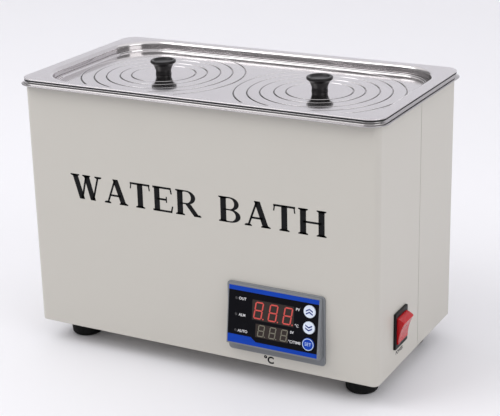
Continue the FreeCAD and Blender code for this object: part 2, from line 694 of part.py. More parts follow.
def rocker():
    """Rocker with a hollowed face and round ends, turned to its rest with the top out."""
    pivot = Vector(BODY_HALF_X, SWITCH_Y, SWITCH_Z)
    half = ROCKER_HALF_WIDTH
    drum = rod(ROCKER_RADIUS, Vector(0, -half, 0), Vector(0, half, 0))
    body = drum.common(box((-2.5, 20), (-20, 20), (-20, 20)))
    hollow_radius = 40.0
    face_middle = 4.7
    centre_x = face_middle + hollow_radius
    body = body.cut(rod(hollow_radius, Vector(centre_x, -20, 0), Vector(centre_x, 20, 0)))
    tips = [edge for edge in body.Edges
            if edge.BoundBox.YLength > half and edge.BoundBox.XMin > face_middle + 0.3]
    body = body.makeFillet(0.5, tips)
    stem = box((-9, -2), (-4, 4), (-3, 3))
    pins = rod(1.55, Vector(0, -half - 1.2, 0), Vector(0, half + 1.2, 0))
    turned_rocker = joined([body, stem, pins]).rotated(Vector(), Vector(0, 1, 0), ROCKER_TILT)
    return turned_rocker.translated(pivot)


def switch_terminals():
    """Four push-on tabs behind the switch."""
    back = BODY_HALF_X - 23
    return group([box((back - 9, back), (SWITCH_Y + side * 5 - 0.4, SWITCH_Y + side * 5 + 0.4),
                      (SWITCH_Z + level - 3.1, SWITCH_Z + level + 3.1))
                  for side in (-1, 1) for level in (-6.0, 6.0)])


# ---- Mains entry and earth ----

def upright_to_back(shape):
    """Turn a shape made standing on the origin so that it points to +Y at the mains entry."""
    return shape.rotated(Vector(), Vector(1, 0, 0), -90).translated(GLAND_PLACE)


def cord_gland():
    """Nylon gland through the back panel, open for a cord."""
    profile = [(4.0, -14.0), (6.0, -14.0, 0.4), (6.0, 0), (9.5, 0), (9.5, 3.0, 0.6),
               (8.0, 3.0), (6.8, 10.0, 1.2), (4.0, 10.0, 0.5)]
    return upright_to_back(turned(profile, Vector()))


def cord_gland_nut():
    """Nut that holds the gland from inside."""
    return upright_to_back(hexagon_nut(Vector(0, 0, -SHEET - 4.5), 18.0, 6.1, 4.5))


def terminal_block():
    """Three-way connector block screwed to the base plate."""
    block = box((-96, -60), (20, 40), (BASE_TOP, BASE_TOP + 15))
    wells = [rod(2.4, Vector(-90 + 12 * way, 25 + 10 * row, BASE_TOP + 9),
                 Vector(-90 + 12 * way, 25 + 10 * row, BASE_TOP + 20))
             for way in range(3) for row in range(2)]
    ways = [rod(1.9, Vector(-90 + 12 * way, 10, BASE_TOP + 6), Vector(-90 + 12 * way, 50, BASE_TOP + 6))
            for way in range(3)]
    return without(block, wells + ways)


def earth_stud():
    """Earth screw and nut on the base plate."""
    place = Vector(-40.0, 62.0, BASE_TOP)
    stud = rod(2.0, place, place + UP * 14)
    nut = hexagon_nut(place + UP * 2, 7.0, 2.05, 3.2)
    return group([stud, nut])


def wire_routes():
    """Corner points of each sleeved wire in the bay under the tank."""
    block_z = BASE_TOP + 6
    tab_x = BODY_HALF_X - 23 - 9
    strip_y = -BODY_HALF_Y + 68.0 + 6
    strip_z = CONTROLLER_Z - 2
    pin_z = TANK_BOTTOM - 26
    first_way = CONTROLLER_X - 28
    routes = []
    for order, side in enumerate((-1, 1)):
        block_x = -90 + 12 * order
        lane = 4 + 5 * order
        column = 114 + 5 * order
        tab_y = SWITCH_Y + side * 5
        routes.append([Vector(block_x, 24, block_z), Vector(block_x, lane, block_z),
                       Vector(column, lane, block_z), Vector(column, tab_y, block_z),
                       Vector(column, tab_y, SWITCH_Z + 6), Vector(tab_x, tab_y, SWITCH_Z + 6)])
    for order, leg in enumerate(heater_places()):
        way_x = first_way + 8 * order
        level = BASE_TOP + 23.8 - 6 * order
        turn_y = 14 + 4 * order
        routes.append([leg + UP * pin_z, leg + UP * level, Vector(10 - 9 * order, leg.y, level),
                       Vector(10 - 9 * order, turn_y, level), Vector(way_x, turn_y, level),
                       Vector(way_x, turn_y, strip_z), Vector(way_x, strip_y, strip_z)])
    sensor_x = first_way + 48
    routes.append([PROBE_PLACE + UP * (TANK_BOTTOM - 12), PROBE_PLACE + UP * strip_z,
                   Vector(sensor_x, PROBE_PLACE.y, strip_z), Vector(sensor_x, strip_y, strip_z)])
    return routes


def internal_wires():
    """Wires between the terminal block, switch, controller, heater and probe."""
    return group([bent_tube(route, WIRE_BEND, WIRE_RADIUS) for route in wire_routes()])


# ---- Files ----

def fasteners():
    """Screws, washers and nuts, like ones kept together."""
    feet = list(foot_places().values())
    base = base_screw_places()
    return {
        "foot_screws": group([pan_screw(p + UP * (FOOT_WELL - 1), 4.0, 2.6, 2.0, 16.5) for p in feet]
                             + [washer(p + UP * (FOOT_WELL - 1), 5.0, 2.1, 1.0) for p in feet]),
        "foot_nuts": group([hexagon_nut(p + UP * BASE_TOP, 7.0, 2.05, 3.2) for p in feet]),
        "base_screws": group([pan_screw(p + UP * FOOT_HEIGHT, 3.0, 1.8, 1.5, 6.0) for p in base]),
        "base_nuts": group([hexagon_nut(p + UP * BASE_TOP, 5.5, 1.55, 2.4) for p in base]),
    }


def tank_fittings():
    """Bushes, seals and nuts of the heater and the probe."""
    legs = heater_places()
    seal = 1.5
    heater_level = TANK_FLOOR + seal
    return {
        "heater_tube": heater_tube(),
        "tank_bushes": group([bush(p, 4.05, 6.0, 10.0, 2.5, heater_level, 13.0) for p in legs]
                             + [bush(PROBE_PLACE, 2.55, 4.0, 7.0, 2.5, TANK_FLOOR, 10.0)]),
        "heater_seals": group([washer(p + UP * TANK_FLOOR, 9.5, 6.05, seal) for p in legs]),
        "tank_nuts": group([hexagon_nut(p + UP * (TANK_BOTTOM - 4), 17.0, 6.1, 4.0) for p in legs]
                           + [hexagon_nut(PROBE_PLACE + UP * (TANK_BOTTOM - 3), 12.0, 4.1, 3.0)]),
        "heater_terminals": group([rod(1.5, p + UP * (TANK_BOTTOM - 26), p + UP * (TANK_BOTTOM - 14))
                                   for p in legs]),
        "sensor_probe": turned([(0, TANK_BOTTOM - 12), (2.5, TANK_BOTTOM - 12),
                                (2.5, TANK_FLOOR + 27, 2.3), (0, TANK_FLOOR + 27)], PROBE_PLACE),
    }


def lids():
    """Rings, discs and knobs of both openings."""
    nodes = {}
    for side, place in hole_places().items():
        for index in range(len(RING_RADII) - 1):
            name = f"{side}_ring_{index + 1}"
            nodes[name] = lid_ring(place, RING_RADII[index], RING_RADII[index + 1])
        nodes[f"{side}_lid_disc"] = lid_disc(place)
        nodes[f"{side}_knob"] = knob(place)
        seat = place - UP * (RING_SHEET + KNOB_WASHER)
        nodes[f"{side}_knob_washer"] = washer(seat, 5.5, KNOB_SCREW_RADIUS + 0.2, KNOB_WASHER)
        nodes[f"{side}_knob_screw"] = pan_screw(seat, 4.0, 2.4, KNOB_SCREW_RADIUS, 8.4)
    return nodes


def water_bath():
    """Every node by name."""
    wall = cabinet_wall()
    nodes = {
        "front_shell": front_shell(wall),
        "rear_shell": rear_shell(wall),
        "base_plate": base_plate(),
        "top_frame": top_frame(),
        "rim_gasket": rim_gasket(),
        "tank_rim": tank_rim(),
        "tank": tank(),
        "shelf": shelf(),
        "cover_plate": cover_plate(),
        "controller_case": controller_case(),
        "controller_face": controller_face(),
        "controller_rear_case": controller_rear_case(),
        "controller_terminals": controller_terminals(),
        "controller_clamps": controller_clamps(),
        "control_board": control_board(),
        "key_switches": key_switches(),
        "indicator_leds": indicator_leds(),
        "switch_housing": switch_housing(),
        "rocker": rocker(),
        "switch_terminals": switch_terminals(),
        "cord_gland": cord_gland(),
        "cord_gland_nut": cord_gland_nut(),
        "terminal_block": terminal_block(),
        "earth_stud": earth_stud(),
        "internal_wires": internal_wires(),
    }
    nodes.update({name: foot(place) for name, place in foot_places().items()})
    nodes.update({name: key(v) for name, v in KEY_HEIGHTS.items()})
    nodes.update(displays())
    nodes.update(fasteners())
    nodes.update(tank_fittings())
    nodes.update(lids())
    return nodes


def main():
    os.makedirs("parts", exist_ok=True)
    for name, shape in water_bath().items():
        shape.exportStep(f"parts/{name}.step")
        print(name, len(shape.Solids), round(shape.Volume, 1), shape.isValid())


main()
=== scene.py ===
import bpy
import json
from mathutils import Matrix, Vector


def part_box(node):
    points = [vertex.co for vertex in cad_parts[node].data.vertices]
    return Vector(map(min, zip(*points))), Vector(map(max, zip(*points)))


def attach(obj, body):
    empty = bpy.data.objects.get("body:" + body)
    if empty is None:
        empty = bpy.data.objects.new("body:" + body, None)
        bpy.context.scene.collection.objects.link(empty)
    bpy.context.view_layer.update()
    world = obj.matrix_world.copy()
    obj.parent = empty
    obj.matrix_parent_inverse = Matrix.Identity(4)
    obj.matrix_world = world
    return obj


bl_info = {
    "name": "Laboratory water bath",
    "version": (1, 0, 0),
    "blender": (4, 5, 0),
    "location": "View3D > Sidebar > Water bath",
    "description": "Finishes, printed marks and studio stage for a two-hole laboratory water bath",
    "category": "Object",
}

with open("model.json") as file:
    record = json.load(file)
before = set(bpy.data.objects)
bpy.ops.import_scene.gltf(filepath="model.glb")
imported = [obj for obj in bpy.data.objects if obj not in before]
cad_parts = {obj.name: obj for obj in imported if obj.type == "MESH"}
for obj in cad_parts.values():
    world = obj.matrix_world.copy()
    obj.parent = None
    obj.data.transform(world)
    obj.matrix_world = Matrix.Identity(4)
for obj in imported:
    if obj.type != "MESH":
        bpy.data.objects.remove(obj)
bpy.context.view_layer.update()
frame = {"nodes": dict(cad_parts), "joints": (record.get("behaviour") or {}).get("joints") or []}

import json
import math

import bmesh
import bpy
from mathutils import Matrix, Vector

NODES = frame["nodes"]
JOINTS = {joint["name"]: joint for joint in frame["joints"]}
MM = 0.001
SIDES = ("left", "right")
SENSOR_WIDTH = 36.0
HOLE_OFFSET = 0.0735  # from the middle of the cover to the middle of either hole
NOISE_LOW, NOISE_HIGH = 0.3, 0.7  # where most of a noise texture's values lie
FACE_HALF_WIDTH = 40.0 * MM
FACE_HALF_HEIGHT = 24.0 * MM
FILM_THICKNESS = 0.3 * MM
FILM_CLEARANCE = 0.00005
KEY_RADIUS = 5.1 * MM


# ---- Settings that a user would change ----

def colour_setting(name, description, default):
    """Linear RGB colour property."""
    return bpy.props.FloatVectorProperty(
        name=name, description=description, default=default, size=3, subtype="COLOR",
        min=0.0, max=1.0)


def length_setting(name, description, default):
    """Length property in metres."""
    return bpy.props.FloatProperty(
        name=name, description=description, default=default, subtype="DISTANCE", unit="LENGTH",
        min=0.0, precision=5)


def factor_setting(name, description, default, highest=1.0):
    """Plain number from nought to a highest value."""
    return bpy.props.FloatProperty(
        name=name, description=description, default=default, min=0.0, max=highest)


class BathFinishSettings(bpy.types.PropertyGroup):
    """Colours and gloss of the bath's own surfaces."""
    paint: colour_setting("Paint", "Powder coat of the cabinet", (0.585, 0.562, 0.512))
    paint_roughness: factor_setting("Paint roughness", "Gloss of the powder coat", 0.42)
    steel: colour_setting("Stainless", "Tint of the stainless sheet", (0.665, 0.642, 0.648))
    steel_roughness: factor_setting("Stainless roughness", "Gloss of the stainless sheet", 0.17)
    knob: colour_setting("Knob", "Moulded resin of the knobs", (0.010, 0.009, 0.010))
    case: colour_setting("Controller case", "Plastic of the controller", (0.19, 0.20, 0.215))
    film: colour_setting("Face film", "Black of the printed film", (0.006, 0.006, 0.008))
    band: colour_setting("Band", "Blue of the printed bands", (0.003, 0.050, 0.42))
    key: colour_setting("Key", "White of the arrow keys", (0.72, 0.80, 0.92))
    measured_digits: colour_setting(
        "Measured digits", "Upper display's segments", (0.55, 0.080, 0.070))
    target_digits: colour_setting(
        "Target digits", "Lower display's segments", (0.19, 0.18, 0.14))
    rocker: colour_setting("Rocker", "Red lens of the rocker", (0.56, 0.006, 0.012))


class BathPrintSettings(bpy.types.PropertyGroup):
    """Sizes of what is printed on the cabinet and the controller."""
    thickness: length_setting("Ink thickness", "How far a print stands off its surface", 0.00004)
    title_width: length_setting("Title width", "Length of the words on the front", 0.2366)
    title_height: length_setting("Title height", "Height of the capitals on the front", 0.0214)
    upper_digit: length_setting("Upper digit", "Height of the measured digits", 0.0145)
    lower_digit: length_setting("Lower digit", "Height of the target digits", 0.0099)
    label: length_setting("Label", "Height of the small capitals on the film", 0.0022)


class BathStageSettings(bpy.types.PropertyGroup):
    """Floor, light and camera."""
    floor: colour_setting("Floor", "Pale sweep under and behind the bath", (0.86, 0.855, 0.885))
    sky: colour_setting("Surround", "Light from all round", (0.955, 0.95, 0.965))
    sky_strength: factor_setting(
        "Surround strength", "Brightness of the surround overhead", 1.08, 5.0)
    low_sky: factor_setting("Low surround", "Share of that brightness near the horizon", 0.24)
    backdrop_glow: factor_setting(
        "Backdrop glow", "Light given off by the upright backdrop", 0.36, 5.0)
    key_power: factor_setting("Key light", "Power of the large light over the left", 20.0, 500.0)
    fill_power: factor_setting("Fill light", "Power of the light on the right", 9.0, 500.0)
    camera_place: bpy.props.FloatVectorProperty(
        name="Camera", description="Where the camera stands", default=(0.54273, -0.99875, 0.52223),
        size=3, subtype="TRANSLATION", unit="LENGTH")
    camera_turn: bpy.props.FloatVectorProperty(
        name="Camera turn", description="Tilt from straight down, roll and heading",
        default=(math.radians(70.489), math.radians(-1.344), math.radians(28.206)),
        size=3, subtype="EULER", unit="ROTATION")
    lens: bpy.props.FloatProperty(
        name="Lens", description="Focal length in millimetres on a 36 mm wide sensor",
        default=101.284, min=10.0, max=500.0)


# ---- Node helpers ----

def add_node(tree, kind, **values):
    """New shader node; values are properties, or inputs when the name starts with in_."""
    node = tree.nodes.new(kind)
    for key, value in values.items():
        if key.startswith("in_"):
            node.inputs[key[3:].replace("_", " ")].default_value = value
        else:
            setattr(node, key, value)
    return node


def link(tree, source, target):
    """Join an output socket to an input socket."""
    tree.links.new(source, target)


def maths(tree, operation, first, second=None):
    """Maths node whose operands are sockets or numbers."""
    node = add_node(tree, "ShaderNodeMath", operation=operation)
    for socket, operand in zip(node.inputs, (first, second)):
        if operand is None:
            continue
        if isinstance(operand, (int, float)):
            socket.default_value = operand
        else:
            link(tree, operand, socket)
    return node.outputs[0]


def new_group(name, inputs, outputs):
    """Shader node group with named sockets; returns the tree, its inputs and its output node."""
    tree = bpy.data.node_groups.new(name, "ShaderNodeTree")
    for label, kind, default in inputs:
        socket = tree.interface.new_socket(label, in_out="INPUT", socket_type=kind)
        socket.default_value = default
    for label, kind in outputs:
        tree.interface.new_socket(label, in_out="OUTPUT", socket_type=kind)
    return tree, tree.nodes.new("NodeGroupInput"), tree.nodes.new("NodeGroupOutput")


def use_group(tree, group, **values):
    """Place a node group in a material and set its inputs."""
    node = add_node(tree, "ShaderNodeGroup", node_tree=group)
    for key, value in values.items():
        node.inputs[key.replace("_", " ")].default_value = value
    return node


# ---- Shared surface effects ----

def speckle_group():
    """Fine moulded or sprayed texture: a height, and a slow drift in tone."""
    tree, given, result = new_group(
        "Surface speckle",
        [("Size", "NodeSocketFloat", 0.001), ("Drift size", "NodeSocketFloat", 0.08)],
        [("Height", "NodeSocketFloat"), ("Drift", "NodeSocketFloat")])
    place = add_node(tree, "ShaderNodeTexCoord").outputs["Object"]
    fine = add_node(tree, "ShaderNodeTexNoise", in_Detail=2.0, in_Roughness=0.55)
    link(tree, place, fine.inputs["Vector"])
    link(tree, maths(tree, "DIVIDE", 1.0, given.outputs["Size"]), fine.inputs["Scale"])
    slow = add_node(tree, "ShaderNodeTexNoise", in_Detail=3.0, in_Roughness=0.5)
    link(tree, place, slow.inputs["Vector"])
    link(tree, maths(tree, "DIVIDE", 1.0, given.outputs["Drift size"]), slow.inputs["Scale"])
    link(tree, fine.outputs["Fac"], result.inputs["Height"])
    link(tree, slow.outputs["Fac"], result.inputs["Drift"])
    return tree


def place_parts(tree):
    """Object coordinates, whole and split into X, Y and Z."""
    place = add_node(tree, "ShaderNodeTexCoord").outputs["Object"]
    parts = add_node(tree, "ShaderNodeSeparateXYZ")
    link(tree, place, parts.inputs[0])
    return place, parts.outputs


def from_hole(tree, parts, offset):
    """Distance in X from the middle of the nearer hole, and the angle round it."""
    across = maths(tree, "SUBTRACT", maths(tree, "ABSOLUTE", parts["X"]), offset)
    return across, maths(tree, "ARCTAN2", parts["Y"], across)


def grain_noise(tree, result, stretched, place, smudge_scale):
    """Send lines from stretched coordinates and smudges from plain ones to the outputs."""
    lines = add_node(tree, "ShaderNodeTexNoise", in_Scale=1.0, in_Detail=3.0, in_Roughness=0.6)
    link(tree, stretched, lines.inputs["Vector"])
    smudge = add_node(tree, "ShaderNodeTexNoise", in_Scale=smudge_scale, in_Detail=4.0,
                      in_Roughness=0.55)
    link(tree, place, smudge.inputs["Vector"])
    link(tree, lines.outputs["Fac"], result.inputs["Lines"])
    link(tree, smudge.outputs["Fac"], result.inputs["Smudge"])


def rolled_grain_group():
    """Long faint lines of rolled sheet along X, with soft smudges over them."""
    tree, given, result = new_group(
        "Rolled grain",
        [("Line size", "NodeSocketFloat", 0.0004), ("Line length", "NodeSocketFloat", 0.03)],
        [("Lines", "NodeSocketFloat"), ("Smudge", "NodeSocketFloat")])
    place, parts = place_parts(tree)
    squeezed = add_node(tree, "ShaderNodeCombineXYZ")
    link(tree, maths(tree, "DIVIDE", parts["X"], given.outputs["Line length"]),
         squeezed.inputs["X"])
    for axis in "YZ":
        link(tree, maths(tree, "DIVIDE", parts[axis], given.outputs["Line size"]),
             squeezed.inputs[axis])
    grain_noise(tree, result, squeezed.outputs[0], place, smudge_scale=28.0)
    return tree


def turned_grain_group():
    """Fine circles left by turning, about a middle at X = plus and minus the given offset."""
    tree, given, result = new_group(
        "Turned grain",
        [("Offset", "NodeSocketFloat", HOLE_OFFSET), ("Line size", "NodeSocketFloat", 0.0005)],
        [("Lines", "NodeSocketFloat"), ("Smudge", "NodeSocketFloat")])
    changes_round_circle = 0.9
    place, parts = place_parts(tree)
    across, turn = from_hole(tree, parts, given.outputs["Offset"])
    squares = maths(tree, "ADD", maths(tree, "MULTIPLY", across, across),
                    maths(tree, "MULTIPLY", parts["Y"], parts["Y"]))
    radius = maths(tree, "SQRT", squares)
    spread = add_node(tree, "ShaderNodeCombineXYZ")
    link(tree, maths(tree, "DIVIDE", radius, given.outputs["Line size"]), spread.inputs["X"])
    link(tree, maths(tree, "MULTIPLY", turn, changes_round_circle), spread.inputs["Y"])
    grain_noise(tree, result, spread.outputs[0], place, smudge_scale=35.0)
    return tree


def groove_group():
    """Mask of painted shade in the narrow grooves between the rings, stronger away from the back.
    """
    tree, given, result = new_group(
        "Groove shade",
        [("Offset", "NodeSocketFloat", HOLE_OFFSET), ("Top", "NodeSocketFloat", 0.23)],
        [("Shade", "NodeSocketFloat")])
    front_sine, back_sine, back_share = -0.3, 0.6, 0.3
    shade_starts, shade_full = 0.00012, 0.0005  # depths below the lids' top
    _, parts = place_parts(tree)
    _, turn = from_hole(tree, parts, given.outputs["Offset"])
    side = add_node(tree, "ShaderNodeMapRange", in_From_Min=front_sine, in_From_Max=back_sine,
                    in_To_Min=1.0, in_To_Max=back_share)
    link(tree, maths(tree, "SINE", turn), side.inputs["Value"])
    deep = add_node(tree, "ShaderNodeMapRange", in_From_Min=shade_starts, in_From_Max=shade_full)
    link(tree, maths(tree, "SUBTRACT", given.outputs["Top"], parts["Z"]), deep.inputs["Value"])
    link(tree, maths(tree, "MULTIPLY", side.outputs["Result"], deep.outputs["Result"]),
         result.inputs["Shade"])
    return tree


GROUPS = {}


def shared(name):
    """The shared effect of that name, built the first time it is asked for."""
    makers = {"speckle": speckle_group, "rolled": rolled_grain_group, "turned": turned_grain_group,
              "groove": groove_group}
    if name not in GROUPS:
        GROUPS[name] = makers[name]()
    return GROUPS[name]


# ---- Materials ----

def new_material(name):
    """Material with its tree and Principled node."""
    material = bpy.data.materials.new(name)
    material.use_nodes = True
    return material, material.node_tree, material.node_tree.nodes["Principled BSDF"]


def varied_colour(tree, factor, base, amount):
    """Base colour that drifts by plus or minus amount with factor."""
    ramp = add_node(tree, "ShaderNodeMix", data_type="RGBA")
    ramp.inputs["A"].default_value = [channel * (1 - amount) for channel in base] + [1.0]
    ramp.inputs["B"].default_value = [min(1.0, channel * (1 + amount)) for channel in base] + [1.0]
    link(tree, factor, ramp.inputs["Factor"])
    return ramp.outputs["Result"]


def spread_value(tree, factor, low, high):
    """Factor spread between low and high."""
    node = add_node(tree, "ShaderNodeMapRange", in_From_Min=NOISE_LOW, in_From_Max=NOISE_HIGH,
                    in_To_Min=low, in_To_Max=high)
    link(tree, factor, node.inputs["Value"])
    return node.outputs["Result"]


def bumped(tree, height, distance):
    """Normal bumped by a height that is distance metres deep."""
    node = add_node(tree, "ShaderNodeBump", in_Strength=1.0, in_Distance=distance)
    link(tree, height, node.inputs["Height"])
    return node.outputs["Normal"]


def coated_material(name, base, roughness, speckle_size, depth, drift=0.02, coat=0.0,
                    specular=0.5):
    """Paint, plastic or rubber: speckled height and a slow drift of tone and gloss."""
    material, tree, shader = new_material(name)
    speckle = use_group(tree, shared("speckle"), Size=speckle_size, Drift_size=0.06)
    link(tree, varied_colour(tree, speckle.outputs["Drift"], base, drift),
         shader.inputs["Base Color"])
    link(tree, spread_value(tree, speckle.outputs["Drift"], roughness * 0.92, roughness * 1.08),
         shader.inputs["Roughness"])
    link(tree, bumped(tree, speckle.outputs["Height"], depth), shader.inputs["Normal"])
    shader.inputs["Coat Weight"].default_value = coat
    shader.inputs["Specular IOR Level"].default_value = specular
    return material


def steel_material(name, base, roughness, grain, **grain_values):
    """Bare metal with the lines of rolling or turning."""
    line_depth, streak = 0.000004, 0.03
    material, tree, shader = new_material(name)
    shader.inputs["Metallic"].default_value = 1.0
    lines = use_group(tree, shared(grain), **grain_values)
    link(tree, varied_colour(tree, lines.outputs["Smudge"], base, 0.025),
         shader.inputs["Base Color"])
    smudged = spread_value(tree, lines.outputs["Smudge"], roughness * 0.8, roughness * 1.15)
    streaked = spread_value(tree, lines.outputs["Lines"], -streak, streak)
    link(tree, maths(tree, "ADD", smudged, streaked), shader.inputs["Roughness"])
    link(tree, bumped(tree, lines.outputs["Lines"], line_depth), shader.inputs["Normal"])
    return material


def shade_grooves(material, offset, top):
    """Paint shade into a steel material inside the grooves between the rings."""
    shaded = (0.02, 0.018, 0.02, 1.0)
    tree = material.node_tree
    shader = tree.nodes["Principled BSDF"]
    plain = shader.inputs["Base Color"].links[0].from_socket
    mask = use_group(tree, shared("groove"), Offset=offset, Top=top)
    mix = add_node(tree, "ShaderNodeMix", data_type="RGBA")
    link(tree, mask.outputs["Shade"], mix.inputs["Factor"])
    link(tree, plain, mix.inputs["A"])
    mix.inputs["B"].default_value = shaded
    link(tree, mix.outputs["Result"], shader.inputs["Base Color"])


def ink_material(name, colour, roughness=0.45, glow=0.0):
    """Printed ink or a lit segment."""
    material, tree, shader = new_material(name)
    shader.inputs["Specular IOR Level"].default_value = 0.12
    speckle = use_group(tree, shared("speckle"), Size=0.0006, Drift_size=0.01)
    link(tree, varied_colour(tree, speckle.outputs["Drift"], colour, 0.06),
         shader.inputs["Base Color"])
    link(tree, spread_value(tree, speckle.outputs["Height"], roughness * 0.9, roughness * 1.1),
         shader.inputs["Roughness"])
    shader.inputs["Emission Color"].default_value = (*colour, 1.0)
    shader.inputs["Emission Strength"].default_value = glow
    return material


def lens_material(name, base, roughness, transmission):
    """Clear-coloured resin."""
    material, tree, shader = new_material(name)
    speckle = use_group(tree, shared("speckle"), Size=0.002, Drift_size=0.01)
    link(tree, varied_colour(tree, speckle.outputs["Drift"], base, 0.05),
         shader.inputs["Base Color"])
    link(tree, spread_value(tree, speckle.outputs["Drift"], roughness * 0.8, roughness * 1.2),
         shader.inputs["Roughness"])
    shader.inputs["Transmission Weight"].default_value = transmission
    shader.inputs["Coat Weight"].default_value = 0.06
    shader.inputs["Specular IOR Level"].default_value = 0.3
    return material


def finish_nodes(names, material):
    """Give CAD nodes a material."""
    for name in names:
        node = NODES[name]
        if not node.material_slots:
            node.data.materials.append(material)
        for holder in node.material_slots:
            holder.material = material


# ---- Geometry helpers ----

def plane_matrix(origin, across, up):
    """Matrix of a drawing plane; its third axis points out of the surface."""
    out = across.cross(up)
    matrix = Matrix((across, up, out)).transposed().to_4x4()
    matrix.translation = origin
    return matrix


def add_piece(name, mesh, material, body):
    """Object from a mesh that is already in place, riding on a body."""
    piece = bpy.data.objects.new(name, mesh)
    bpy.context.scene.collection.objects.link(piece)
    mesh.materials.clear()
    mesh.materials.append(material)
    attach(piece, body)
    return piece


def flat_shapes_mesh(name, outlines, matrix, thickness):
    """Thin solids from closed outlines drawn on a plane, sunk a hair into it."""
    sunk = -0.00001
    mesh = bpy.data.meshes.new(name)
    shape = bmesh.new()
    for points in outlines:
        low = [shape.verts.new(matrix @ Vector((x, y, sunk))) for x, y in points]
        high = [shape.verts.new(matrix @ Vector((x, y, thickness))) for x, y in points]
        shape.faces.new(list(reversed(low)))
        shape.faces.new(high)
        for index in range(len(points)):
            onward = (index + 1) % len(points)
            shape.faces.new((low[index], low[onward], high[onward], high[index]))
    bmesh.ops.recalc_face_normals(shape, faces=shape.faces)
    shape.to_mesh(mesh)
    shape.free()
    return mesh


def print_shapes(name, outlines, matrix, material, body):
    """Printed shapes on a plane, as one piece."""
    thickness = bpy.context.scene.bath_print.thickness
    mesh = flat_shapes_mesh(name, outlines, matrix, thickness)
    return add_piece(name, mesh, material, body)


def print_words(name, words, matrix, height, material, body, weight=0.0):
    """Words printed on a plane, with capitals of the given height."""
    extrude = 0.02
    capital_share = 0.70
    curve = bpy.data.curves.new(name + "_words", "FONT")
    curve.body = words
    curve.align_x = "CENTER"
    curve.align_y = "CENTER"
    curve.offset = weight
    curve.extrude = extrude
    source = bpy.data.objects.new(name + "_words", curve)
    bpy.context.scene.collection.objects.link(source)
    bpy.context.view_layer.update()
    mesh = bpy.data.meshes.new_from_object(source)
    mesh.name = name
    bpy.data.objects.remove(source)
    bpy.data.curves.remove(curve)
    scale = height / capital_share
    thickness = bpy.context.scene.bath_print.thickness
    lift = Matrix.Translation((0, 0, thickness / 2))
    flatten = Matrix.Diagonal((scale, scale, thickness / 2 / extrude, 1.0))
    mesh.transform(matrix @ lift @ flatten)
    return add_piece(name, mesh, material, body)


def circle_points(middle, radius, count):
    """Points round a circle."""
    return [(middle[0] + radius * math.cos(2 * math.pi * turn / count),
             middle[1] + radius * math.sin(2 * math.pi * turn / count)) for turn in range(count)]


def ring_sections(middle, inner, outer, count=48):
    """Outlines of short pieces that make a ring."""
    outlines = []
    for turn in range(count):
        start = 2 * math.pi * turn / count
        end = 2 * math.pi * (turn + 1) / count
        corners = ((inner, start), (outer, start), (outer, end), (inner, end))
        outlines.append([(middle[0] + radius * math.cos(angle),
                          middle[1] + radius * math.sin(angle)) for radius, angle in corners])
    return outlines


# ---- Places taken from the frame ----

def middle_of(name):
    """Middle of a CAD node's box."""
    low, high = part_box(name)
    return (low + high) / 2


def front_plane():
    """Drawing plane on the front panel, its origin under the middle of the cabinet."""
    panel_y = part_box("controller_case")[1].y
    return plane_matrix(Vector((0, panel_y, 0)), Vector((1, 0, 0)), Vector((0, 0, 1)))


def side_plane():
    """Drawing plane on the right side, with its origin on the rocker's pivot."""
    pivot = Vector(JOINTS["rocker_press"]["pos_m"])
    return plane_matrix(pivot, Vector((0, 1, 0)), Vector((0, 0, 1)))


def face_plane(lift=0.0):
    """Drawing plane on the controller's leaning face, with its origin in the middle."""
    out = -Vector(JOINTS["key_up_press"]["axis"]).normalized()
    across = Vector((1, 0, 0))
    origin = middle_of("controller_face") + out * (FILM_THICKNESS / 2 + lift)
    return plane_matrix(origin, across, out.cross(across))


def key_plane(name):
    """Drawing plane on top of a key."""
    out = -Vector(JOINTS[name + "_press"]["axis"]).normalized()
    across = Vector((1, 0, 0))
    points = (vertex.co for vertex in NODES[name].data.vertices)
    top = max(points, key=lambda point: point.dot(out))
    centre = middle_of(name)
    return plane_matrix(centre + out * (top - centre).dot(out), across, out.cross(across))


# ---- Operators: one for each group of pieces ----

class BATH_OT_finish_cabinet(bpy.types.Operator):
    """Powder coat on the shells and base plate, rubber on the feet and plate on the fasteners"""
    bl_idname = "bath.finish_cabinet"
    bl_label = "Finish cabinet"

    def execute(self, context):
        finish = context.scene.bath_finish
        paint = coated_material("Powder coat", finish.paint, finish.paint_roughness, 0.0011,
                                0.000012, drift=0.015, coat=0.08)
        finish_nodes(["front_shell", "rear_shell", "base_plate"], paint)
        rubber = coated_material("Foot rubber", (0.010, 0.010, 0.010), 0.7, 0.0008, 0.00003,
                                 drift=0.15, specular=0.12)
        finish_nodes([f"foot_{end}_{side}" for end in ("front", "rear") for side in SIDES], rubber)
        plated = steel_material("Zinc plate", (0.66, 0.66, 0.62), 0.3, "rolled", Line_size=0.0003,
                                Line_length=0.002)
        finish_nodes(["foot_screws", "foot_nuts", "base_screws", "base_nuts", "earth_stud"], plated)
        nylon = coated_material("Black nylon", (0.02, 0.02, 0.021), 0.45, 0.0006, 0.00001,
                                drift=0.1)
        finish_nodes(["cord_gland", "cord_gland_nut"], nylon)
        return {"FINISHED"}


